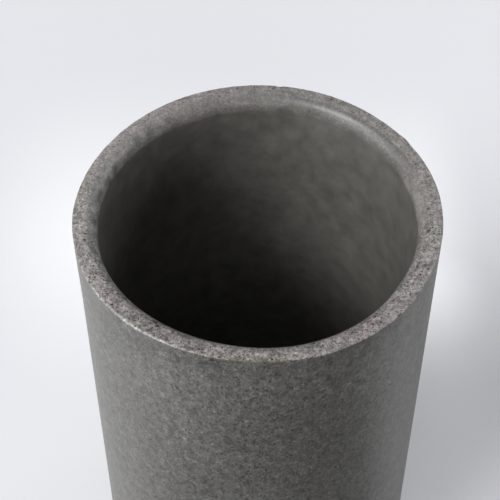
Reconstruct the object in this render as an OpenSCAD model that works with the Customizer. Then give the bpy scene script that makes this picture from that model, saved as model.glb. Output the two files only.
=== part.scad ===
// Round tumbler of fine cast stone that stands on a self-adhesive rubber pad.
// Origin: centre of the pad's underside, where the tumbler meets the shelf. +Z runs up the axis.
// All sizes are in millimetres.

/* [Tumbler] */
// Outer diameter, the same from foot to rim
outer_d = 70; // [60:1:90]
// Height from the shelf to the top of the rim
height = 115; // [90:1:140]
// Thickness of the side wall
wall_t = 4.5; // [4:0.1:8]
// Thickness of the stone floor above the pad
floor_t = 7; // [4:0.5:14]
// Radius between the inner wall and the floor
inner_corner_r = 6; // [1:0.5:12]

/* [Rim] */
// Radius that rolls the inner edge of the rim into the hollow
rim_inner_r = 2.5; // [0.5:0.1:3.5]
// Radius that takes the sharpness off the ground outer edge
rim_outer_r = 0.5; // [0.2:0.1:1.5]

/* [Foot] */
// Radius round the bottom of the outer wall
foot_edge_r = 1.2; // [0.4:0.1:2.5]
// Width of the bare stone ring round the recess for the pad
foot_ring_w = 7.5; // [5:0.5:15]
// Rounding of the lip where the recess opens in the foot
recess_lip_r = 0.4; // [0.1:0.1:0.8]

/* [Pad] */
// Thickness of the rubber pad
pad_t = 1.8; // [1.6:0.1:4]
// Thickness of the adhesive film that holds the pad
film_t = 0.2; // [0.1:0.05:0.4]
// How far the pad stands below the stone foot
pad_proud = 0.8; // [0.4:0.1:1.2]
// Clearance between the pad's edge and the wall of the recess
pad_clearance = 0.5; // [0.2:0.1:1.5]
// Rounding of the pad's lower edge
pad_edge_r = 0.35; // [0.1:0.05:0.6]

/* [Hidden] */

$fn = 180;
over = 1;

outer_r = outer_d / 2;
inner_r = outer_r - wall_t;
recess_r = outer_r - foot_ring_w;
pad_r = recess_r - pad_clearance;
foot_z = pad_proud;
recess_top_z = pad_t + film_t;
floor_z = recess_top_z + floor_t;

stone_color = [0.45, 0.44, 0.42];
film_color = [0.90, 0.89, 0.84];
rubber_color = [0.13, 0.13, 0.13];

// What a round of radius r takes off a square corner that points to +X +Y.
// The centre of the round is at the origin.
module corner_waste(r) {
    difference() {
        square(r + over);
        circle(r);
    }
}

// The same, placed at the corner of a profile. side and up are 1 or -1 and say where it points.
module round_off(corner, r, side, up) {
    translate([corner[0] - side * r, corner[1] - up * r])
        mirror([side < 0 ? 1 : 0, 0])
            mirror([0, up < 0 ? 1 : 0])
                corner_waste(r);
}

// Half section of the whole tumbler before it is hollowed
module outer_section() {
    difference() {
        translate([0, foot_z])
            square([outer_r, height - foot_z]);
        round_off([outer_r, height], rim_outer_r, 1, 1);
        round_off([outer_r, foot_z], foot_edge_r, 1, -1);
    }
}

// Half section of the hollow, with a round corner at the floor
module hollow_section() {
    difference() {
        translate([0, floor_z])
            square([inner_r, height + over - floor_z]);
        round_off([inner_r, floor_z], inner_corner_r, 1, -1);
    }
}

// Half section of the recess that the pad sits in
module recess_section() {
    translate([0, foot_z - over])
        square([recess_r, recess_top_z - foot_z + over]);
}

module cup_body() {
    color(stone_color)
        rotate_extrude()
            difference() {
                outer_section();
                hollow_section();
                recess_section();
                round_off([inner_r, height], rim_inner_r, -1, 1);
                round_off([recess_r, foot_z], recess_lip_r, -1, -1);
            }
}

module adhesive_film() {
    color(film_color)
        translate([0, 0, pad_t])
            cylinder(r = pad_r, h = film_t);
}

module base_pad() {
    color(rubber_color)
        rotate_extrude()
            difference() {
                square([pad_r, pad_t]);
                round_off([pad_r, 0], pad_edge_r, 1, -1);
            }
}

cup_body();
adhesive_film();
base_pad();
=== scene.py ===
"""Looks of the cast-stone tumbler: camera, light, floor, the stone body, the pad and its film."""
import math
import random

import bpy
import numpy as np
from mathutils import Matrix, Vector, noise


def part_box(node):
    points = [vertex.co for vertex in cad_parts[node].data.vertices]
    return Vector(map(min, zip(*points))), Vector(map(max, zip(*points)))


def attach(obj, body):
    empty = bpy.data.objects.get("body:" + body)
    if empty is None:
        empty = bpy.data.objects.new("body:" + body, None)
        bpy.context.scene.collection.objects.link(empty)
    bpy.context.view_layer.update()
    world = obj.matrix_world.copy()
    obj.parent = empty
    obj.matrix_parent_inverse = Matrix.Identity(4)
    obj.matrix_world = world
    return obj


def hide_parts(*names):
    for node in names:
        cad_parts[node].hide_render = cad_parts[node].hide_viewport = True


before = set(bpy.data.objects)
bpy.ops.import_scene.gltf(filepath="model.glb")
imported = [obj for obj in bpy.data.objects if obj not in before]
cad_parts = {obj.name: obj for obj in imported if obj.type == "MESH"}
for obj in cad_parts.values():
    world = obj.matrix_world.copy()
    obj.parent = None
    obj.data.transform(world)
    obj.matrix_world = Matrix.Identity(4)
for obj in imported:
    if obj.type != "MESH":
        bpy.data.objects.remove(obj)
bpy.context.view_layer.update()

# Lengths are in metres, and in millimetres only where a comment says so
MM = 0.001

# The stone body, as the CAD has it
body_low, body_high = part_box("cup_body")
OUTER_R = (body_high.x - body_low.x) / 2
TOP_Z = body_high.z
FOOT_Z = body_low.z
WALL = 4.5 * MM
INNER_R = OUTER_R - WALL
FLOOR_Z = 9 * MM
INNER_CORNER_R = 6 * MM
RIM_INNER_R = 2.5 * MM
FOOT_EDGE_R = 1.2 * MM
RECESS_R = 27.5 * MM
RECESS_LIP_R = 0.4 * MM
RECESS_TOP_Z = 2 * MM

# The worn outer edge of the rim: how far it eats into the flat top and down the wall, the least and the most
# that it may, and the power of its section, where 1 is a straight chamfer and 2 is round
EDGE_IN = 0.32 * MM
EDGE_DOWN = 0.17 * MM
EDGE_LEAST = 0.06 * MM
EDGE_MOST = 0.8 * MM
EDGE_POWER = 1.5
# The lip's curve runs a little further down than it runs across
LIP_DOWN = 3.0 * MM

# The rim is meshed finely, from a band of the outer wall over the edge, the land and the lip to the throat
FINE_COLUMNS = 1280
MIDDLE_COLUMNS = FINE_COLUMNS // 2
COARSE_COLUMNS = FINE_COLUMNS // 4
BAND_ROWS, EDGE_ROWS, LAND_ROWS, LIP_ROWS, THROAT_ROWS = 8, 6, 8, 20, 8
RIM_BAND = 2.2 * MM
THROAT_BAND = 1.5 * MM
# The rest is meshed coarsely, with a short step between rows where the columns halve
STEP = 0.6 * MM
WALL_ROWS = 24
RECESS_LIP_ROWS, FOOT_FLAT_ROWS, FOOT_EDGE_ROWS = 4, 4, 8
INNER_CORNER_ROWS, FLOOR_ROWS = 12, 5
# Heights closer than this are the same
CLOSE = 0.001 * MM

# The place of each fine column round the axis, in radians and in degrees, from +X towards +Y
TURN = np.arange(FINE_COLUMNS) * 2 * math.pi / FINE_COLUMNS
BEARING = np.arange(FINE_COLUMNS) * 360 / FINE_COLUMNS

# Marks on the edge: bearing in degrees, half width, and depth or height
NICKS = ((83, 0.7 * MM, 0.30 * MM), (258, 0.6 * MM, 0.25 * MM), (287, 0.4 * MM, 0.2 * MM))
BURR = (34, 1.8 * MM, 0.16 * MM)
# The power of the burr's rise from the wall
BURR_RISE = 3
# Chips scattered round the edge, with the ranges of their depth and half width, in millimetres
CHIP_SEED = 11
CHIP_COUNT = 60
CHIP_DEPTH = (0.06, 0.18)
CHIP_HALF = (0.25, 0.7)
# The power of a nick's or chip's section, and how far it goes down for its depth inwards
CHIP_POWER = 0.7
CHIP_DOWN = 0.8
# The bearing where the edge is worn most, how far that spreads, and how worn the rest is
WORN_MOST = 232
WORN_SPREAD = 24
WORN_LEAST = 0.25
# The size of the edge without wear, and what full wear adds
UNWORN_SIZE = 0.8
WORN_ADDS = 0.4

# Tables by bearing in degrees, each with a value in millimetres or a share.
# How far the rim is out of round, outside and inside
OUT_BY = ((0, 0.03), (10, 0.12), (22, 0.12), (45, 0), (62, 0.08), (90, -0.03), (105, -0.15), (120, -0.25),
          (134, -0.37), (148, -0.42), (160, -0.27), (171, -0.1), (181, 0.12), (192, 0.15), (212, 0.25),
          (232, 0.1), (250, -0.1), (265, -0.22), (278, -0.05), (291, 0.27), (318, 0.25), (336, 0),
          (360, 0.03))
IN_BY = ((0, 0), (185, 0.1), (200, 0.2), (220, 0), (232, -0.18), (247, -0.28), (260, -0.2), (270, 0.03),
         (281, 0.25), (298, 0.3), (310, 0.2), (320, 0), (331, -0.2), (345, 0), (360, 0))
# Where the ground skin ends at the outer edge: down the wall, or minus along the top
GROUND_ENDS = ((0, 0.05), (198, 0.05), (212, 0.3), (226, 0.2), (240, -0.08), (258, -0.22), (270, -0.3),
               (281, -0.08), (291, 0.18), (316, 0.2), (336, 0.06), (360, 0.05))
# How pale or stained that end is, the pale being wear and partly a painted highlight, how wide the mark is
# and how far beyond the end its middle lies
HIGHLIGHT_AND_STAIN_SHARE = ((0, 0), (198, 0), (212, 0.75), (222, 1), (252, 1), (262, 0.95), (282, 0.8), (298, 0), (360, 0))
MARK_WIDTH = ((0, 0.3), (205, 0.5), (230, 0.4), (238, 0.28), (256, 0.2), (290, 0.16), (360, 0.3))
MARK_BEYOND = ((0, -0.05), (246, -0.05), (258, 0.1), (266, 0.22), (290, 0.2), (360, -0.05))
# How ragged the edge and its mark are
RAGGED = ((0, 1), (224, 1), (236, 0.4), (252, 0.4), (268, 0.9), (360, 1))
# How ground the lip is, and how mottled it is where the ground skin ends inside
LIP_GROUND = ((0, 0.56), (16, 0.54), (30, 0.3), (38, 0.27), (75, 0.27), (92, 0.42), (112, 0.6), (145, 0.58),
              (160, 0.46), (195, 0.44), (215, 0.6), (225, 0.64), (335, 0.6), (360, 0.56))
LIP_MOTTLED = ((0, 0.7), (16, 0.7), (30, 0), (82, 0), (105, 1), (205, 1), (225, 0.3), (320, 0.3), (340, 0.7),
               (360, 0.7))

# How far down the rim is out of round
WOBBLE_DEPTH = 20 * MM
# Over how many millimetres the ground skin fades out at the edge, and over what share of the lip
GROUND_FADE = 0.22
LIP_FADE = 0.18
# How far the mark reaches, in its widths, and what is taken off its noise, which leaves gaps in it
MARK_REACH = 1.4
MARK_GAPS = 0.3
# How ground the flat foot is
FOOT_GROUND = 0.7

# Layers of noise: swing, size of the bumps and seed
EDGE_IN_NOISE = ((0.3, 2.1 * MM, 1), (0.4, 0.6 * MM, 2))
EDGE_IN_DRIFT = (0.2, 14 * MM, 3)
EDGE_DOWN_NOISE = ((0.3, 2.6 * MM, 4), (0.35, 0.7 * MM, 5))
GROUND_NOISE = ((0.22, 0.7 * MM, 6), (0.16, 0.3 * MM, 7))
PORE_NOISE = (0.4, 0.35 * MM, 8)
MARK_NOISE = (1.0, 0.45 * MM, 9)
LIP_NOISE = (0.42, 1.7 * MM, 12)
# How far a seed of 1 moves the noise
SEED_SHIFT = (17.3, 9.1, 5.7)


def smooth_noise(points, *layers):
    """Smooth noise at each point of a ring or grid, as the sum of its layers."""
    total = np.zeros(points.shape[:-1])
    for swing, cell, seed in layers:
        shift = Vector(SEED_SHIFT) * seed
        found = [noise.noise(Vector(p) / cell + shift) for p in points.reshape(-1, 3)]
        total += swing * np.reshape(found, total.shape)
    return total


def ring(radius, z, columns):
    """Points round the axis. radius and z are numbers, or arrays with one value a column."""
    turn = np.arange(columns) * 2 * math.pi / columns
    return np.stack([radius * np.cos(turn), radius * np.sin(turn), z + 0 * turn], 1)


def arc(centre, radius, start, end, rows):
    """Points (r, z) on an arc of the half section, from start to end in degrees, both ends included."""
    turn = np.radians(np.linspace(start, end, rows + 1))
    return [(centre[0] + radius * math.cos(t), centre[1] + radius * math.sin(t)) for t in turn]


def by_bearing(table, bearing=BEARING):
    """The value of a table at each bearing."""
    return np.interp(bearing, *np.array(table).T)


def mound(angle, half):
    """1 at the bearing angle, down to 0 at the length half along the edge on either side, per column."""
    away = (TURN - math.radians(angle) + math.pi) % (2 * math.pi) - math.pi
    return np.clip(1 - (away * OUTER_R / half) ** 2, 0, 1)


def worn_share():
    """How worn the edge is, per column, from WORN_LEAST to 1: most of all on the front left."""
    return WORN_LEAST + (1 - WORN_LEAST) * np.exp(-((BEARING - WORN_MOST) / WORN_SPREAD) ** 2)


def edge_marks(grid):
    """How ground and how pale each point near the outer edge is, 0 to 1, as (rows, columns). The pale mark is
    wear and partly a painted highlight.
    """
    from_axis = np.linalg.norm(grid[..., :2], axis=2)
    # Down the wall, or minus along the top
    down = (TOP_Z - grid[..., 2]) - (OUTER_R - from_axis)
    ragged = by_bearing(RAGGED)
    beyond = down / MM - by_bearing(GROUND_ENDS) - ragged * smooth_noise(grid, *GROUND_NOISE)
    ground = np.clip(0.5 - beyond / GROUND_FADE, 0, 1)
    patchy = np.clip(1 + ragged * (smooth_noise(grid, MARK_NOISE) - MARK_GAPS), 0, 1)
    away = np.abs(beyond - by_bearing(MARK_BEYOND)) / by_bearing(MARK_WIDTH)
    return ground, by_bearing(HIGHLIGHT_AND_STAIN_SHARE) * patchy * np.clip(MARK_REACH - away, 0, 1)


def edge_sizes():
    """How far the worn edge eats in and down, per column."""
    on_edge = ring(OUTER_R, 0.0, FINE_COLUMNS)
    ragged = by_bearing(RAGGED)
    inward = 1 + ragged * smooth_noise(on_edge, *EDGE_IN_NOISE) + smooth_noise(on_edge, EDGE_IN_DRIFT)
    down = 1 + ragged * smooth_noise(on_edge, *EDGE_DOWN_NOISE)
    worn = worn_share()
    draw = random.Random(CHIP_SEED)
    marks = list(NICKS)
    for _ in range(CHIP_COUNT):
        column = draw.randrange(FINE_COLUMNS)
        depth = draw.uniform(*CHIP_DEPTH) * MM * worn[column]
        marks.append((math.degrees(TURN[column]), draw.uniform(*CHIP_HALF) * MM, depth))
    chips = sum(depth * mound(angle, half) ** CHIP_POWER for angle, half, depth in marks)
    size = UNWORN_SIZE + WORN_ADDS * worn
    inward = np.clip(EDGE_IN * size * inward + chips, EDGE_LEAST, EDGE_MOST)
    down = np.clip(EDGE_DOWN * size * down + CHIP_DOWN * chips, EDGE_LEAST, EDGE_MOST)
    return inward, down


def rim_rows():
    """The finely meshed rim: its points, (rows, columns, 3), and how ground and how pale each is, 0 to 1. The
    pale edge mark is wear and partly a painted highlight.
    """
    inward, down = edge_sizes()
    angle, half, height = BURR
    burr = height * mound(angle, half)
    rows = []
    for step in range(BAND_ROWS):
        share = step / BAND_ROWS
        z = TOP_Z - RIM_BAND + share * (RIM_BAND - down)
        rows.append(ring(OUTER_R + burr * share ** BURR_RISE, z, FINE_COLUMNS))
    for step in range(EDGE_ROWS + 1):
        t = step / EDGE_ROWS * math.pi / 2
        c, s = math.cos(t) ** (2 / EDGE_POWER), math.sin(t) ** (2 / EDGE_POWER)
        rows.append(ring(OUTER_R + burr * c - inward * (1 - c), TOP_Z - down * (1 - s), FINE_COLUMNS))
    lip_start = INNER_R + RIM_INNER_R
    for step in range(1, LAND_ROWS):
        share = step / LAND_ROWS
        rows.append(ring((OUTER_R - inward) * (1 - share) + lip_start * share, TOP_Z, FINE_COLUMNS))
    # The pale edge mark is wear with a painted highlight on it, and the stone's colours turn it into a stain
    # further right
    ground, pale = edge_marks(np.array(rows))

    lip_ground = by_bearing(LIP_GROUND)
    inside, inside_ground = [], []
    for step, (r, rise) in enumerate(arc((lip_start, 0), RIM_INNER_R, 90, 180, LIP_ROWS)):
        inside.append(ring(r, TOP_Z - LIP_DOWN + rise / RIM_INNER_R * LIP_DOWN, FINE_COLUMNS))
        inside_ground.append(1 - (1 - lip_ground) * min(1, step / LIP_ROWS / LIP_FADE))
    for step in range(1, THROAT_ROWS + 1):
        inside.append(ring(INNER_R, TOP_Z - LIP_DOWN - THROAT_BAND * step / THROAT_ROWS, FINE_COLUMNS))
        inside_ground.append(lip_ground * (1 - step / THROAT_ROWS) ** 2)
    # The mottle is strongest halfway and none at either end
    run = np.linspace(0, 1, len(inside))[:, None]
    mottle = smooth_noise(np.array(inside), LIP_NOISE) * by_bearing(LIP_MOTTLED) * (4 * run * (1 - run))
    ground = np.concatenate([ground, np.clip(np.array(inside_ground) + mottle, 0, 1)])
    pale = np.concatenate([pale, np.zeros_like(mottle)])
    return np.array(rows + inside), ground, pale


def normals_of(grid):
    """Unit normals of a closed grid of points, pointing out of the stone."""
    round_way = np.roll(grid, -1, 1) - np.roll(grid, 1, 1)
    along = np.gradient(grid, axis=0)
    out = np.cross(round_way, along)
    return out / np.linalg.norm(out, axis=2, keepdims=True)


# Open pores: bearing in degrees, distance from the axis, depth below the top and radius, in millimetres
PORES = ((236.8, 32.4, 0.08, 0.42), (352.3, 32.3, 0.12, 0.36), (22.5, 33.2, 0, 0.22), (2, 32.4, 0.08, 0.24),
         (259, 34.7, 0, 0.2), (268, 34.7, 0, 0.16), (283, 34.5, 0, 0.16), (301, 34.4, 0, 0.16),
         (307, 34.4, 0, 0.13), (257.3, 35, 1.0, 0.27), (258.6, 35, 1.3, 0.22), (224, 33.9, 0, 0.14),
         (331, 33.8, 0, 0.17), (16, 34.2, 0, 0.2), (293, 35, 0.9, 0.13))
# Small pores scattered over the rim, with the range of their radius, in millimetres, and of their rows
PORE_SEED = 5
SMALL_PORES = 110
SMALL_PORE_R = (0.06, 0.14)
PORE_ROWS = (BAND_ROWS + 2, BAND_ROWS + EDGE_ROWS + LAND_ROWS + LIP_ROWS - 4)
# A pore's depth, how far its painted shade reaches, in its radii, and how quickly it darkens inwards
PORE_DEPTH = 0.8
PORE_REACH = 1.25
PORE_DARKENS = 1.6


def carve_pores(grid):
    """Sinks small pores into the rim. Returns the new grid and how much painted shade each point gets in and
    near a pore, 0 to 1.
    """
    centres = []
    for angle, from_axis, depth, radius in PORES:
        t = math.radians(angle)
        place = Vector((from_axis * MM * math.cos(t), from_axis * MM * math.sin(t), TOP_Z - depth * MM))
        centres.append((place, radius * MM))
    draw = random.Random(PORE_SEED)
    for _ in range(SMALL_PORES):
        row, column = draw.randint(*PORE_ROWS), draw.randrange(FINE_COLUMNS)
        centres.append((grid[row, column], draw.uniform(*SMALL_PORE_R) * MM))
    ragged = 1 + smooth_noise(grid, PORE_NOISE)
    sunk = np.zeros(grid.shape[:2])
    painted_pore_shade = np.zeros(grid.shape[:2])
    for centre, radius in centres:
        gap = np.linalg.norm(grid - np.array(centre), axis=2) / (radius * ragged)
        sunk = np.maximum(sunk, PORE_DEPTH * radius * np.clip(1 - gap ** 2, 0, 1))
        painted_pore_shade = np.maximum(painted_pore_shade, np.clip(PORE_REACH - gap, 0, 1))
    return grid - normals_of(grid) * sunk[..., None], np.clip(painted_pore_shade * PORE_DARKENS, 0, 1)


def out_of_round(points):
    """The points with the rim drawn slightly out of round, outside and inside, fading down the walls."""
    from_axis = np.linalg.norm(points[:, :2], axis=1)
    bearing = np.degrees(np.arctan2(points[:, 1], points[:, 0])) % 360
    share = np.clip((from_axis - INNER_R) / WALL, 0, 1)
    by = share * by_bearing(OUT_BY, bearing) + (1 - share) * by_bearing(IN_BY, bearing)
    up = np.clip((points[:, 2] - TOP_Z) / WOBBLE_DEPTH + 1, 0, 1)
    by *= MM * up * up * (3 - 2 * up)
    scale = 1 + by / np.maximum(from_axis, INNER_R)
    return points * np.stack([scale, scale, np.ones_like(scale)], 1)


class Shell:
    """Collects rings of vertices and the faces between them, with map coordinates per corner.

    place(turn, s, middle) lays a corner on the map: turn is its share of a turn about the axis, s its length
    along the section, and middle the turn of its face's middle.
    """

    def __init__(self):
        self.points, self.finish, self.faces, self.maps, self.count = [], [], [], [], 0

    def add(self, points, ground=0.0, worn=0.0, pore_shade=0.0):
        """Adds a ring with its finish, which is how ground it is, its edge mark (wear and partly a painted
        highlight) and its painted pore shade, and returns its vertex numbers.
        """
        first = self.count
        self.points.append(points)
        self.finish.append(np.stack([np.zeros(len(points)) + value for value in (ground, worn, pore_shade)], 1))
        self.count += len(points)
        return np.arange(first, self.count)

    def bridge(self, lower, upper, low, high, place):
        """Faces between two rings at the lengths low and high along the section.

        The rings have as many vertices each, or one has twice as many or a single one.
        """
        def face(corners, turns, sides):
            """One face. sides has 0 for a corner in the lower ring and 1 for one in the upper ring."""
            middle = (min(turns) + max(turns)) / 2
            self.faces.append([int(corner) for corner in corners])
            self.maps.extend(place(turn, (low, high)[side], middle) for turn, side in zip(turns, sides))

        a, b = len(lower), len(upper)
        few, many = min(a, b), max(a, b)
        if few == 1:
            for i in range(many):
                j, t0, t1 = (i + 1) % many, i / many, (i + 1) / many
                if a == 1:
                    face([lower[0], upper[j], upper[i]], [(t0 + t1) / 2, t1, t0], (0, 1, 1))
                else:
                    face([lower[i], lower[j], upper[0]], [t0, t1, (t0 + t1) / 2], (0, 0, 1))
            return
        for i in range(few):
            j, t0, t1 = (i + 1) % few, i / few, (i + 1) / few
            if a == b:
                face([lower[i], lower[j], upper[j], upper[i]], [t0, t1, t1, t0], (0, 0, 1, 1))
                continue
            half, k, m = (t0 + t1) / 2, 2 * i + 1, (2 * i + 2) % many
            if b > a:
                face([lower[i], upper[k], upper[2 * i]], [t0, half, t0], (0, 1, 1))
                face([lower[i], lower[j], upper[k]], [t0, t1, half], (0, 0, 1))
                face([lower[j], upper[m], upper[k]], [t1, t1, half], (0, 1, 1))
            else:
                face([lower[2 * i], lower[k], upper[i]], [t0, half, t0], (0, 0, 1))
                face([lower[k], upper[j], upper[i]], [half, t1, t0], (0, 1, 1))
                face([lower[k], lower[m], upper[j]], [half, t1, t1], (0, 0, 1))

    def run(self, rings, place):
        """Bridges rings in order. Each is (vertex numbers, length along the section)."""
        for (lower, low), (upper, high) in zip(rings, rings[1:]):
            self.bridge(lower, upper, low, high, place)

    def mesh(self, name):
        """The mesh of all rings and faces, with its map and the finish at each vertex."""
        made = bpy.data.meshes.new(name)
        made.from_pydata(out_of_round(np.concatenate(self.points)).tolist(), [], self.faces)
        layer = made.uv_layers.new(name="OFBake")
        layer.data.foreach_set("uv", np.array(self.maps, np.float32).ravel())
        field = made.attributes.new("finish", "FLOAT_VECTOR", "POINT")
        field.data.foreach_set("vector", np.concatenate(self.finish).astype(np.float32).ravel())
        made.validate()
        made.update()
        return made


# The square sheet that the body's surface is laid out on: its side, the left bottom corner or the middle of
# each part, how many times their real size some parts are, and the gap between the two halves of the rim
SHEET = 250 * MM
WALL_PLACE = (2 * MM, 2 * MM)
INNER_PLACE = (2 * MM, 117 * MM)
RIM_PLACE = (2 * MM, 215 * MM)
RIM_SCALE = 2.2
RIM_GAP = 1.5 * MM
FLOOR_MIDDLE, FLOOR_SCALE = (222 * MM, 141 * MM), 0.66
FOOT_MIDDLE, FOOT_SCALE = (222 * MM, 189 * MM), 0.60


def strip(corner, radius, start):
    """Lays a band of radius radius out flat, its length along the section counted from start."""
    def place(turn, s, middle):
        return ((corner[0] + 2 * math.pi * radius * turn) / SHEET, (corner[1] + s - start) / SHEET)
    return place


def halved_strip(corner, radius, scale, height, gap):
    """Lays a narrow band out in two halves, one over the other, larger than life."""
    def place(turn, s, middle):
        half = 1 if middle > 0.5 else 0
        x = corner[0] + scale * 2 * math.pi * radius * (turn - 0.5 * half)
        y = corner[1] + half * (scale * height + gap) + scale * s
        return (x / SHEET, y / SHEET)
    return place


def disc(centre, scale):
    """Lays a disc of the floor or foot out flat. s is the distance from its middle along the section."""
    def place(turn, s, middle):
        a = 2 * math.pi * turn
        return ((centre[0] + scale * s * math.cos(a)) / SHEET, (centre[1] + scale * s * math.sin(a)) / SHEET)
    return place


def lengths(section):
    """Running length along a list of (r, z)."""
    steps = np.linalg.norm(np.diff(np.array(section), axis=0), axis=1)
    return np.concatenate([[0], np.cumsum(steps)])


def add_disc_rings(shell, section):
    """Adds coarse rings for a section (r, z), where a point on the axis is a single vertex."""
    made = []
    for r, z in section:
        ground = FOOT_GROUND if abs(z - FOOT_Z) < CLOSE else 0
        made.append(shell.add(np.array([[0, 0, z]]) if r == 0 else ring(r, z, COARSE_COLUMNS), ground))
    return made


def foot_section():
    """Half section from the middle of the recess to the foot of the outer wall."""
    lip = RECESS_R + RECESS_LIP_R
    flat = OUTER_R - FOOT_EDGE_R - lip
    section = [(0, RECESS_TOP_Z), (RECESS_R / 2, RECESS_TOP_Z), (RECESS_R, RECESS_TOP_Z)]
    section += arc((lip, FOOT_Z + RECESS_LIP_R), RECESS_LIP_R, 180, 270, RECESS_LIP_ROWS)
    section += [(lip + flat * k / FOOT_FLAT_ROWS, FOOT_Z) for k in range(1, FOOT_FLAT_ROWS)]
    middle = (OUTER_R - FOOT_EDGE_R, FOOT_Z + FOOT_EDGE_R)
    return section + arc(middle, FOOT_EDGE_R, 270, 360, FOOT_EDGE_ROWS)


def floor_section():
    """Half section from the foot of the inner wall to the middle of the floor."""
    flat = INNER_R - INNER_CORNER_R
    section = arc((flat, FLOOR_Z + INNER_CORNER_R), INNER_CORNER_R, 0, -90, INNER_CORNER_ROWS)
    return section + [(flat * k / FLOOR_ROWS, FLOOR_Z) for k in reversed(range(FLOOR_ROWS))]


def stone_mesh():
    """The whole stone body as one closed skin, from the recess in the foot round to the floor inside."""
    shell = Shell()
    section = foot_section()
    foot = list(zip(add_disc_rings(shell, section), lengths(section)))
    shell.run(foot, disc(FOOT_MIDDLE, FOOT_SCALE))

    grid, ground, pale = rim_rows()
    grid, painted_pore_shade = carve_pores(grid)
    rim_s = lengths(np.stack([np.linalg.norm(grid[..., :2], axis=2).mean(1), grid[..., 2].mean(1)], 1))

    wall_foot, wall_top = FOOT_Z + FOOT_EDGE_R, TOP_Z - RIM_BAND
    wall = [(foot[-1][0], wall_foot)]
    for z in np.linspace(wall_foot, wall_top - 2 * STEP, WALL_ROWS)[1:]:
        wall.append((shell.add(ring(OUTER_R, z, COARSE_COLUMNS)), z))
    wall.append((shell.add(ring(OUTER_R, wall_top - STEP, MIDDLE_COLUMNS)), wall_top - STEP))
    rim = []
    for row, points in enumerate(grid):
        rim.append((shell.add(points, ground[row], pale[row], painted_pore_shade[row]), rim_s[row]))
    wall += [(numbers, wall_top + s) for numbers, s in rim[:BAND_ROWS + 1]]
    shell.run(wall, strip(WALL_PLACE, OUTER_R, wall_foot))

    first_throat = len(rim) - THROAT_ROWS - 1
    edge_s, lip_end_s = rim_s[BAND_ROWS], rim_s[first_throat]
    top = [(numbers, s - edge_s) for numbers, s in rim[BAND_ROWS:first_throat + 1]]
    shell.run(top, halved_strip(RIM_PLACE, OUTER_R, RIM_SCALE, lip_end_s - edge_s, RIM_GAP))

    # Down the inner wall the length is counted from the top, so it's laid upside down
    section = floor_section()
    throat_z, corner_z = TOP_Z - LIP_DOWN - THROAT_BAND, section[0][1]
    inner = [(numbers, s - lip_end_s) for numbers, s in rim[first_throat:]]
    inner.append((shell.add(ring(INNER_R, throat_z - STEP, MIDDLE_COLUMNS)), THROAT_BAND + STEP))
    for z in np.linspace(throat_z - 2 * STEP, corner_z, WALL_ROWS):
        inner.append((shell.add(ring(INNER_R, z, COARSE_COLUMNS)), THROAT_BAND + throat_z - z))
    shell.run(inner, strip(INNER_PLACE, INNER_R, 0))

    from_axis = lengths(section)[-1] - lengths(section)
    floor = [inner[-1][0]] + add_disc_rings(shell, section[1:])
    shell.run(list(zip(floor, from_axis)), disc(FLOOR_MIDDLE, FLOOR_SCALE))
    return shell.mesh("tumbler_body")


def add_object(name, mesh, material):
    """A new object in the scene, with its mesh and material."""
    made = bpy.data.objects.new(name, mesh)
    bpy.context.scene.collection.objects.link(made)
    mesh.materials.append(material)
    return made


# Vector calculations whose result is a number
TO_NUMBER = ("LENGTH", "DISTANCE", "DOT_PRODUCT")


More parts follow.
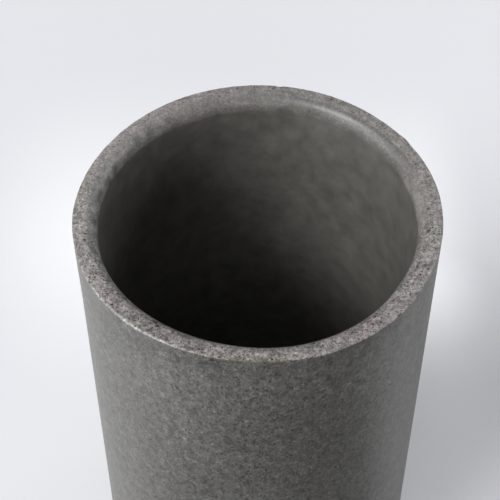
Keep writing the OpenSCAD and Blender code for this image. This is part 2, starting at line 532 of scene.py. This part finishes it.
class Nodes:
    """Short calls that add nodes to a material's tree.

    Wherever a call takes a number, a vector or a colour, it takes another node's output as well.
    """

    def __init__(self, name):
        self.material = bpy.data.materials.new(name)
        self.material.use_nodes = True
        self.tree = self.material.node_tree
        self.tree.nodes.clear()

    def add(self, kind, **settings):
        """A node of this kind."""
        made = self.tree.nodes.new(kind)
        for key, value in settings.items():
            setattr(made, key, value)
        return made

    def feed(self, socket, value):
        """Links a value to a socket, or sets it there."""
        if isinstance(value, bpy.types.NodeSocket):
            self.tree.links.new(value, socket)
        else:
            socket.default_value = value

    def calc(self, operation, a, b=0.0, c=0.0):
        """A calculation with up to three numbers."""
        made = self.add("ShaderNodeMath", operation=operation)
        for socket, value in zip(made.inputs, (a, b, c)):
            self.feed(socket, value)
        return made.outputs[0]

    def times(self, a, b):
        """a times b."""
        return self.calc("MULTIPLY", a, b)

    def vector(self, operation, *values):
        """A calculation with vectors."""
        made = self.add("ShaderNodeVectorMath", operation=operation)
        for socket, value in zip(made.inputs, values):
            self.feed(socket, value)
        return made.outputs["Value" if operation in TO_NUMBER else "Vector"]

    def scaled(self, vector, by):
        """A vector or colour times the number by."""
        made = self.add("ShaderNodeVectorMath", operation="SCALE")
        self.feed(made.inputs[0], vector)
        self.feed(made.inputs["Scale"], by)
        return made.outputs[0]

    def combine(self, *values):
        """The vector of three numbers."""
        made = self.add("ShaderNodeCombineXYZ")
        for socket, value in zip(made.inputs, values):
            self.feed(socket, value)
        return made.outputs[0]

    def split(self, vector):
        """The three numbers of a vector."""
        made = self.add("ShaderNodeSeparateXYZ")
        self.feed(made.inputs[0], vector)
        return made.outputs

    def noise(self, where, cell, detail, rough=0.5):
        """Noise from 0 to 1, with bumps of the size cell, in millimetres."""
        made = self.add("ShaderNodeTexNoise")
        self.feed(made.inputs["Vector"], where)
        made.inputs["Scale"].default_value = 1 / cell
        made.inputs["Detail"].default_value = detail
        made.inputs["Roughness"].default_value = rough
        return made

    def cells(self, where, cell):
        """Random cells of the size cell, in millimetres."""
        made = self.add("ShaderNodeTexVoronoi", feature="F1")
        self.feed(made.inputs["Vector"], where)
        made.inputs["Scale"].default_value = 1 / cell
        return made

    def step(self, value, low, high, to_low=0.0, to_high=1.0):
        """value taken smoothly from to_low at low to to_high at high."""
        made = self.add("ShaderNodeMapRange", interpolation_type="SMOOTHSTEP")
        for socket, number in zip(made.inputs, (value, low, high, to_low, to_high)):
            self.feed(socket, number)
        return made.outputs[0]

    def between(self, share, a, b):
        """A number that goes smoothly from a to b as share goes from 0 to 1."""
        return self.step(share, 0.0, 1.0, a, b)

    def around(self, value, swing):
        """A factor that swings about 1 as value swings about 0.5."""
        return self.calc("MULTIPLY_ADD", self.calc("SUBTRACT", value, 0.5), swing, 1.0)

    def mix(self, share, a, b):
        """The colour a where share is 0 and b where it is 1."""
        made = self.add("ShaderNodeMix", data_type="RGBA")
        self.feed(made.inputs["Factor"], share)
        self.feed(made.inputs["A"], a)
        self.feed(made.inputs["B"], b)
        return made.outputs["Result"]

    def bump(self, height, strength, distance):
        """The normal of a surface with this height."""
        made = self.add("ShaderNodeBump")
        self.feed(made.inputs["Strength"], strength)
        made.inputs["Distance"].default_value = distance
        self.feed(made.inputs["Height"], height)
        return made.outputs[0]

    def millimetres(self):
        """The place on the object, in millimetres."""
        return self.scaled(self.add("ShaderNodeTexCoord").outputs["Object"], 1 / MM)

    def surface(self, shader):
        """The material with this shader."""
        out = self.add("ShaderNodeOutputMaterial")
        self.feed(out.inputs["Surface"], shader.outputs[0])
        return self.material

    def finish(self, **sockets):
        """The material with a plain shader, whose sockets have these values."""
        shader = self.add("ShaderNodeBsdfPrincipled")
        for key, value in sockets.items():
            self.feed(shader.inputs[key.replace("_", " ")], value)
        return self.surface(shader)


# A speck's least size and strength, as shares of the greatest, and the power that makes strong ones rarer
SPECK_SIZE = 0.4
SPECK_STRENGTH = 0.35
SPECK_POWER = 1.5


def specks(n, where, cell, share, size, soft):
    """Small grains in a share of the cells, from 0 between them to 1 in their middles."""
    found = n.cells(where, cell)
    parts = n.add("ShaderNodeSeparateColor")
    n.feed(parts.inputs[0], found.outputs["Color"])
    chosen = n.calc("LESS_THAN", parts.outputs[0], share)
    reach = n.calc("MULTIPLY_ADD", parts.outputs[1], (1 - SPECK_SIZE) * size, SPECK_SIZE * size)
    inside = n.calc("SUBTRACT", reach, found.outputs["Distance"])
    power = n.calc("POWER", parts.outputs[2], SPECK_POWER)
    strength = n.calc("MULTIPLY_ADD", power, 1 - SPECK_STRENGTH, SPECK_STRENGTH)
    return n.times(n.step(inside, 0.0, soft), n.times(chosen, strength))


def patched(n, colour, place, patches):
    """colour with soft patches of another tone."""
    for middle, full, gone, tone in patches:
        factor = n.step(n.vector("DISTANCE", place, middle), full, gone, tone, 1.0)
        colour = n.scaled(colour, factor)
    return colour


WALL_COLOUR = (0.136, 0.134, 0.126)
INNER_COLOUR = (0.145, 0.141, 0.129, 1)
# Painted shade: the inside darkens to this colour towards its floor
DEEP_SHADE_COLOUR = (0.084, 0.081, 0.073, 1)
LAND_COLOUR = (0.262, 0.239, 0.232, 1)
LAND_GREY = (0.241, 0.229, 0.213, 1)
# The pale edge line is wear with a painted highlight on it where the edge faces the lights; further right it
# turns yellow and then into a stain
WORN_AND_HIGHLIGHT_COLOUR = (0.40, 0.388, 0.365, 1)
WORN_YELLOW = (0.29, 0.266, 0.200, 1)
STAIN_COLOUR = (0.185, 0.162, 0.088, 1)
# Painted shade in the pores
PORE_SHADE_COLOUR = (0.035, 0.034, 0.032, 1)
NO_TINT = (1, 1, 1, 1)
# Soft patches: middle, radii where the patch is full and has gone, in millimetres, and tone. On the outer
# wall the lighter patches are painted sheen and the darker one painted shade
WALL_SHEEN_AND_SHADE_PATCHES = (((-15.6, -31.3, 99.0), 3.0, 16.0, 1.18), ((-33.0, -11.6, 98.0), 4.0, 18.0, 1.06),
                ((-14.8, -31.7, 84.0), 2.0, 11.0, 1.08), ((-14.8, -31.7, 107.0), 2.0, 8.0, 1.07),
                ((8.0, -34.1, 86.0), 5.0, 25.0, 0.91), ((20.0, -28.7, 101.0), 3.0, 11.0, 1.07))
LAND_PATCHES = (((-20.0, -28.0, 115.0), 5.0, 17.0, 0.87), ((-35.0, 0.0, 115.0), 2.0, 8.0, 1.1),
                ((-22.7, 25.2, 115.0), 1.0, 6.0, 1.1), ((12.0, 32.5, 115.0), 3.0, 10.0, 1.07))

# Ramps for Nodes.step over the stone: where a change starts and ends, in millimetres, and the values at both
# ends where they are given here. Up the tumbler
UNDER = (5.0, 7.0, 1.0, 0.0)
# Painted shade: the inside darkens towards its floor, and near the top on the left
DEEP_TO_LIT = (38.0, 76.0)
UPPER_INSIDE = (94.0, 106.0)
LIP_GRAINY = (111.8, 113.0, 0.22, 1.0)
# Out from the axis
THROUGH_WALL = (30.9, 31.4)
LAND_GRAINY = (32.0, 33.0)
LIP_TO_LAND = (32.0, 33.2)
LAND_TO_WALL = (34.6, 35.0)
# From the front to the back
LIP_CONTRAST = (-18.0, 8.0, 1.3, 0.4)
LAND_CONTRAST = (-10.0, 20.0, 1.3, 0.85)
GREY_LIP = (-8.0, 8.0)
LAND_FRONT = (-26.0, -10.0, 0.96, 1.0)
LAND_BACK = (12.0, 26.0, 1.0, 0.96)
# From the left to the right
# Painted shade on the inside, on the left near the top and all down the right
INSIDE_LEFT_SHADE = (-30.0, -14.0, 0.8, 1.0)
INSIDE_RIGHT_SHADE = (22.0, 29.0, 1.0, 0.92)
INSIDE_CLOUDY = (6.0, 24.0, 1.05, 0.8)
LAND_LEFT = (-28.0, -8.0, 1.21, 1.0)
LAND_RIGHT = (8.0, 28.0, 0.95, 1.03)
WORN_TO_YELLOW = (-16.0, -9.0)
YELLOW_TO_STAIN = (-10.0, -4.0)

# Noise in the stone: size of its bumps in millimetres, detail and roughness
BEND = (0.5, 1.0)
DRIFT = (12.0, 1.0)
CLOUD = (3.6, 2.0, 0.6)
MOTTLE = (1.5, 1.0, 0.8)
GRAIN = (0.48, 1.0, 0.9)
# Specks: size of their cells in millimetres, share of cells with one, size and softness of one, in cells
DARK_SPECKS = (0.52, 0.6, 0.46, 0.1)
PALE_SPECKS = (0.66, 0.4, 0.42, 0.1)
BLOTS = (1.5, 0.45, 0.5, 0.3)
# Shifts that keep the pale specks and the blots from repeating the places of the dark specks
PALE_SHIFT = (31.0, 7.0, 13.0)
BLOT_SHIFT = (5.0, 23.0, 11.0)
# The share of the height by which the outer wall's grain is drawn out, and how far in millimetres the cells
# of the specks are bent
DRAWN_OUT = 0.25
BENT_BY = 0.5
# Ramps over the mesh's finish and over noise
GROUND_EDGE = (0.15, 0.75)
WORN_GRAIN = (0.25, 0.5, 0.4, 1.0)
LAND_DRIFT = (0.4, 0.6)
STONE_BUMP = (0.4, 1.0, 0.2, 0.6)
STONE_ROUGH = (0.4, 1.0, 0.3, 0.55)
# How much the grain frays the end of the ground skin
GROUND_FRAY = 0.4
# How strongly the parts of the pattern show, on the plain skin and on ground stone
GRAIN_SWING = (1.6, 2.1)
DARK_DEPTH = (0.65, 1.0)
PALE_RISE = (0.65, 0.35)
TINT_SHARE = (0.35, 1.0)
# The swing of the mottle, and the contrast and the swing of the clouds on the outer wall
MOTTLE_SWING = 1.1
WALL_CONTRAST = 1.1
WALL_CLOUDY = 0.35
# How much darker a blot is, and the level between the blots
BLOT_DEPTH = 0.3
BLOT_CLEAR = 1.03
# The tint is a noise of coloured grains, from TINT_LEAST up by TINT_SWING
TINT_LEAST = (0.9, 0.9, 0.85)
TINT_SWING = (0.2, 0.2, 0.3)
# What the pattern does to the height, as shares of STONE_BUMP_DEPTH, and to the roughness
GRAIN_HEIGHT, MOTTLE_HEIGHT, DARK_PIT = 0.5, 0.6, 0.5
STONE_BUMP_DEPTH = 0.05 * MM
GRAIN_ROUGH = 0.12


def stone_material():
    """Fine cast stone: a grey skin with a mottled grain, paler and more speckled where the rim was ground,
    with painted shade inside and in the pores, and painted sheen, shade and highlight on the outer wall and
    its edge.
    """
    n = Nodes("cast_stone")
    place = n.millimetres()
    x, y, z = n.split(place)
    out = n.vector("LENGTH", n.combine(x, y, 0.0))
    under = n.step(z, *UNDER)
    outside = n.calc("MAXIMUM", n.step(out, *THROUGH_WALL), under)

    # The grain, drawn out a little up and down the outer wall
    drawn_z = n.calc("MULTIPLY_ADD", n.calc("SUBTRACT", TOP_Z / MM, z), n.times(outside, DRAWN_OUT), z)
    drawn = n.combine(x, y, drawn_z)
    bend = n.vector("SUBTRACT", n.noise(drawn, *BEND).outputs["Color"], (0.5, 0.5, 0.5))
    bent = n.vector("ADD", drawn, n.scaled(bend, BENT_BY))
    drift = n.noise(place, *DRIFT).outputs["Fac"]
    cloud = n.noise(place, *CLOUD).outputs["Fac"]
    mottle = n.noise(drawn, *MOTTLE).outputs["Fac"]
    fine = n.noise(drawn, *GRAIN)
    grain = fine.outputs["Fac"]
    dark = specks(n, bent, *DARK_SPECKS)
    pale = specks(n, n.vector("ADD", bent, PALE_SHIFT), *PALE_SPECKS)
    blots = specks(n, n.vector("ADD", bent, BLOT_SHIFT), *BLOTS)

    # The ground land, the edge mark, which is wear and partly a painted highlight, and the painted shade of
    # the pores come from the mesh
    finish = n.add("ShaderNodeAttribute", attribute_name="finish").outputs["Vector"]
    marked, worn, pore_shade = n.split(finish)
    frayed = n.calc("MULTIPLY_ADD", n.calc("SUBTRACT", grain, 0.5), GROUND_FRAY, marked)
    ground = n.step(frayed, *GROUND_EDGE)

    # How strongly the pattern shows: weakly on the inner wall, and less at the back of the rim than in front
    top_contrast = n.step(out, *LIP_TO_LAND, n.step(y, *LIP_CONTRAST), n.step(y, *LAND_CONTRAST))
    grainy_part = n.calc("MAXIMUM", n.step(out, *LAND_GRAINY), n.step(z, *LIP_GRAINY))
    contrast = n.times(grainy_part, n.step(out, *LAND_TO_WALL, top_contrast, WALL_CONTRAST))
    contrast = n.calc("MAXIMUM", contrast, under)

    # The colours of the inner wall, with painted shade deep inside, near the top on the left and down the
    # right, of the ground land and of the worn edge, and then of the whole skin
    # Painted shade deep inside, near the top on the left and down the right
    inner = n.mix(n.step(z, *DEEP_TO_LIT), DEEP_SHADE_COLOUR, INNER_COLOUR)
    inner = n.scaled(inner, n.step(z, *UPPER_INSIDE, 1.0, n.step(x, *INSIDE_LEFT_SHADE)))
    inner = n.scaled(inner, n.step(x, *INSIDE_RIGHT_SHADE))
    land = n.mix(n.step(drift, *LAND_DRIFT), LAND_COLOUR, LAND_GREY)
    land = n.mix(n.times(n.step(out, *LIP_TO_LAND, 1.0, 0.0), n.step(y, *GREY_LIP)), land, LAND_GREY)
    across = n.times(n.step(x, *LAND_LEFT), n.step(x, *LAND_RIGHT))
    along = n.times(n.step(y, *LAND_FRONT), n.step(y, *LAND_BACK))
    land = n.scaled(land, n.times(across, along))
    edge = n.mix(n.step(x, *WORN_TO_YELLOW), WORN_AND_HIGHLIGHT_COLOUR, WORN_YELLOW)
    edge = n.mix(n.step(x, *YELLOW_TO_STAIN), edge, STAIN_COLOUR)
    # The outer wall's patches are painted sheen and painted shade
    base = n.mix(outside, inner, patched(n, WALL_COLOUR, place, WALL_SHEEN_AND_SHADE_PATCHES))
    base = n.mix(ground, base, patched(n, land, place, LAND_PATCHES))
    # The pale edge line: wear with a painted highlight on it, turning yellow and then stained further right
    base = n.mix(n.times(worn, n.step(grain, *WORN_GRAIN)), base, edge)

    # The pattern as a factor, with its contrast, and then the clouds and the tint
    level = n.times(n.around(mottle, MOTTLE_SWING), n.around(grain, n.between(ground, *GRAIN_SWING)))
    level = n.times(level, n.calc("MULTIPLY_ADD", blots, -BLOT_DEPTH, BLOT_CLEAR))
    level = n.times(level, n.calc("SUBTRACT", 1.0, n.times(dark, n.between(ground, *DARK_DEPTH))))
    level = n.times(level, n.calc("MULTIPLY_ADD", pale, n.between(ground, *PALE_RISE), 1.0))
    level = n.calc("MULTIPLY_ADD", n.calc("SUBTRACT", level, 1.0), contrast, 1.0)
    cloudy = n.between(outside, n.step(x, *INSIDE_CLOUDY), WALL_CLOUDY)
    level = n.times(level, n.around(cloud, cloudy))
    tint = n.vector("MULTIPLY_ADD", fine.outputs["Color"], TINT_SWING, TINT_LEAST)
    tint = n.mix(n.between(ground, *TINT_SHARE), NO_TINT, tint)
    # Painted shade in the pores
    colour = n.mix(pore_shade, n.vector("MULTIPLY", n.scaled(base, level), tint), PORE_SHADE_COLOUR)

    height = n.calc("MULTIPLY_ADD", grain, GRAIN_HEIGHT, n.times(mottle, MOTTLE_HEIGHT))
    height = n.calc("SUBTRACT", height, n.times(dark, DARK_PIT))
    normal = n.bump(height, n.step(marked, *STONE_BUMP), STONE_BUMP_DEPTH)
    rough = n.calc("MULTIPLY_ADD", grain, GRAIN_ROUGH, n.step(marked, *STONE_ROUGH))
    return n.finish(Base_Color=colour, Roughness=rough, Normal=normal)


# The pad: its rubber and dust, noise and ramps as above, and the size of its pebbles in millimetres
RUBBER_COLOUR = (0.018, 0.018, 0.019, 1)
DUST_COLOUR = (0.06, 0.058, 0.055, 1)
DUST = (5, 4.0, 0.6)
DUST_SHARE = (0.45, 0.8, 0.0, 0.35)
DUST_ROUGH = (0.3, 0.8, 0.62, 0.82)
PEBBLES = 0.55
RUBBER_FINE = (0.25, 2.0)
RUBBER_FINE_HEIGHT = 0.4
RUBBER_BUMP = 0.6
RUBBER_BUMP_DEPTH = 0.06 * MM


def rubber_material():
    """Black rubber, finely pebbled, with a little dust."""
    n = Nodes("pad_rubber")
    place = n.millimetres()
    dust = n.noise(place, *DUST).outputs["Fac"]
    fine = n.noise(place, *RUBBER_FINE).outputs["Fac"]
    colour = n.mix(n.step(dust, *DUST_SHARE), RUBBER_COLOUR, DUST_COLOUR)
    height = n.calc("MULTIPLY_ADD", fine, RUBBER_FINE_HEIGHT, n.cells(place, PEBBLES).outputs["Distance"])
    normal = n.bump(height, RUBBER_BUMP, RUBBER_BUMP_DEPTH)
    return n.finish(Base_Color=colour, Roughness=n.step(dust, *DUST_ROUGH), Normal=normal)


FILM_YELLOW = (0.70, 0.67, 0.58, 1)
FILM_PALE = (0.80, 0.78, 0.72, 1)
FILM_CLOUD = (3, 3.0)
FILM_CHANGE = (0.3, 0.7)
FILM_ROUGH = (0.25, 0.4)


def film_material():
    """Pale adhesive, a little clouded."""
    n = Nodes("adhesive")
    cloud = n.noise(n.millimetres(), *FILM_CLOUD).outputs["Fac"]
    colour = n.mix(n.step(cloud, *FILM_CHANGE), FILM_YELLOW, FILM_PALE)
    return n.finish(Base_Color=colour, Roughness=n.step(cloud, *FILM_CHANGE, *FILM_ROUGH))


# The floor's tone, with painted light: paler in front, which lifts the tumbler's shadow, and in a pool behind
# the tumbler, with ramps in millimetres
FLOOR_TONE = (0.670, 0.676, 0.698, 1)
NEAR_PAINTED_LIGHT = (0.756, 0.761, 0.782, 1)
NEAR_FADE = (-20.0, 60.0, 1.0, 0.0)
PAINTED_POOL_LIGHT = (0.882, 0.887, 0.905, 1)
POOL_LEFT = (-95.0, -48.0)
POOL_RIGHT = (47.0, 68.0, 1.0, 0.0)
POOL_FRONT = (12.0, 88.0)
POOL_BACK = (80.0, 170.0, 1.0, 0.0)
# How much further forward the pool's front lies for each millimetre to the right
POOL_SLOPE = 0.25
# A painted patch of light on the right beside the tumbler, written as the stone's patches are
FLOOR_LIGHT_PATCHES = (((51.0, 70.0, 0.0), 3.0, 20.0, 1.17),)
# A painted glow that the camera alone sees, which lifts the whole card and the tumbler's shadow on it
FLOOR_GLOW = (0.158, 0.160, 0.167, 1)
# What the card throws back on the tumbler, which is least from the front, a little to the right
THROWN_MOST = (0.80, 0.80, 0.80, 1)
THROWN_LEAST = (0.10, 0.10, 0.10, 1)
THROWN_LEAST_WAY = (0.14, -0.99, 0)
THROWN_FADE = (0.1, 0.8)
# Half the side of the card
FLOOR_HALF = 6.0


def floor_material():
    """Pale card with painted light on it, paler in front, in a pool and in a patch, and a painted glow that
    the camera alone sees; less bright to everything but the camera, and clear from below.
    """
    n = Nodes("floor")
    place = n.millimetres()
    across, along, _ = n.split(place)
    # Painted light: paler in front, in a pool behind the tumbler and in a patch on the right
    seen = n.mix(n.step(along, *NEAR_FADE), FLOOR_TONE, NEAR_PAINTED_LIGHT)
    sloped = n.calc("MULTIPLY_ADD", across, POOL_SLOPE, along)
    pool = n.times(n.step(across, *POOL_LEFT), n.step(across, *POOL_RIGHT))
    pool = n.times(pool, n.step(sloped, *POOL_FRONT))
    pool = n.times(pool, n.step(along, *POOL_BACK))
    seen = patched(n, n.mix(pool, seen, PAINTED_POOL_LIGHT), place, FLOOR_LIGHT_PATCHES)
    way = n.vector("DOT_PRODUCT", n.vector("NORMALIZE", place), THROWN_LEAST_WAY)
    thrown = n.mix(n.step(way, *THROWN_FADE), THROWN_MOST, THROWN_LEAST)

    to_camera = n.add("ShaderNodeLightPath").outputs["Is Camera Ray"]
    card = n.add("ShaderNodeBsdfDiffuse")
    n.feed(card.inputs["Color"], n.mix(to_camera, thrown, seen))
    # The painted glow, for the camera alone
    glow = n.add("ShaderNodeEmission")
    n.feed(glow.inputs["Color"], FLOOR_GLOW)
    n.feed(glow.inputs["Strength"], to_camera)
    lit = n.add("ShaderNodeAddShader")
    n.feed(lit.inputs[0], card.outputs[0])
    n.feed(lit.inputs[1], glow.outputs[0])
    either = n.add("ShaderNodeMixShader")
    n.feed(either.inputs[0], n.add("ShaderNodeNewGeometry").outputs["Backfacing"])
    n.feed(either.inputs[1], lit.outputs[0])
    n.feed(either.inputs[2], n.add("ShaderNodeBsdfTransparent").outputs[0])
    return n.surface(either)


# The camera, as fitted to the rim: the picture is PICTURE pixels square, and angles are in degrees
PICTURE = 500
FOCAL_PIXELS = 1400
CAMERA_ELEVATION = 48.31
CAMERA_DISTANCE = 7.586 * OUTER_R
CAMERA_ROLL = -0.35
RIM_PIXEL = (257.9, 211.7)
# The sensor is in millimetres, and the nearest distance seen in metres
SENSOR_WIDTH = 36.0
CLIP_START = 0.01


def add_camera():
    """The camera, turned so that the middle of the rim is at RIM_PIXEL."""
    data = bpy.data.cameras.new("camera")
    data.sensor_width = SENSOR_WIDTH
    data.lens = FOCAL_PIXELS / PICTURE * SENSOR_WIDTH
    data.clip_start = CLIP_START
    camera = bpy.data.objects.new("camera", data)
    bpy.context.scene.collection.objects.link(camera)
    e = math.radians(CAMERA_ELEVATION)
    offset = CAMERA_DISTANCE * Vector((0, -math.cos(e), math.sin(e)))
    look = (-offset).to_track_quat("-Z", "Y").to_matrix()
    right = (RIM_PIXEL[0] - PICTURE / 2) / FOCAL_PIXELS
    up = (PICTURE / 2 - RIM_PIXEL[1]) / FOCAL_PIXELS
    roll = Matrix.Rotation(-math.radians(CAMERA_ROLL), 3, "Z")
    pitch = Matrix.Rotation(-math.atan2(up, math.hypot(1, right)), 3, "X")
    yaw = Matrix.Rotation(math.atan2(right, 1), 3, "Y")
    turned = (look @ roll @ pitch @ yaw).to_4x4()
    camera.matrix_world = Matrix.Translation(Vector((0, 0, TOP_Z)) + offset) @ turned
    bpy.context.scene.camera = camera


WHITE = (1.0, 1.0, 1.0)
COOL = (0.985, 0.995, 1.04)
# Soft lights, each a distant disc: its bearing, height and width in degrees, its level and its colour.
# Level 1 straight onto a white surface renders white.
LIGHTS = {
    "key": (202, 46, 24, 0.34, WHITE),
    "key_low": (220, 40, 24, 0.38, WHITE),
    "left": (199, 8, 50, 0.52, COOL),
    "front": (276, 5, 40, 0.25, WHITE),
    "high": (250, 55, 34, 0.10, WHITE),
    "right": (364, 5, 40, 0.21, COOL),
    "back_right": (20, 15, 40, 0.20, COOL),
    "back": (45, 40, 40, 0.13, COOL),
    "top": (0, 90, 40, 0.09, COOL),
}
# How bright the surroundings look to the camera. Nothing is lit by them.
BACKDROP = (0.80, 0.81, 0.83, 1)


def add_lights():
    """The soft lights, each shining at the tumbler from its bearing and height."""
    for name, (bearing, height, width, level, colour) in LIGHTS.items():
        data = bpy.data.lights.new(name, "SUN")
        data.color = colour
        data.energy = level * math.pi
        data.angle = math.radians(width)
        light = bpy.data.objects.new(name, data)
        bpy.context.scene.collection.objects.link(light)
        a, e = math.radians(bearing), math.radians(height)
        towards = Vector((math.cos(a) * math.cos(e), math.sin(a) * math.cos(e), math.sin(e)))
        light.matrix_world = towards.to_track_quat("Z", "Y").to_matrix().to_4x4()


def add_backdrop():
    """Pale surroundings, for the camera alone."""
    world = bpy.data.worlds.new("studio")
    bpy.context.scene.world = world
    world.use_nodes = True
    tree = world.node_tree
    tree.nodes.clear()
    path = tree.nodes.new("ShaderNodeLightPath")
    background = tree.nodes.new("ShaderNodeBackground")
    background.inputs["Color"].default_value = BACKDROP
    tree.links.new(path.outputs["Is Camera Ray"], background.inputs["Strength"])
    out = tree.nodes.new("ShaderNodeOutputWorld")
    tree.links.new(background.outputs[0], out.inputs["Surface"])


def add_floor():
    """The square of pale card that the tumbler stands on."""
    half = FLOOR_HALF
    mesh = bpy.data.meshes.new("floor")
    corners = [(-half, -half, 0), (half, -half, 0), (half, half, 0), (-half, half, 0)]
    mesh.from_pydata(corners, [], [(0, 1, 2, 3)])
    floor = add_object("floor", mesh, floor_material())


def dress(node, material):
    """Gives a CAD node its finish."""
    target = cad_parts[node]
    target.data.materials.clear()
    target.data.materials.append(material)


add_camera()
add_lights()
add_backdrop()
add_floor()

# Edges that turn by more than this, in degrees, stay sharp
SHARP_ANGLE = 50
body_mesh = stone_mesh()
body_mesh.shade_smooth()
body_mesh.set_sharp_from_angle(angle=math.radians(SHARP_ANGLE))
body = add_object("tumbler_body", body_mesh, stone_material())
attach(body, "root")
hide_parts("cup_body")
dress("base_pad", rubber_material())
dress("adhesive_film", film_material())

scene = bpy.context.scene
scene.view_settings.view_transform = "Standard"
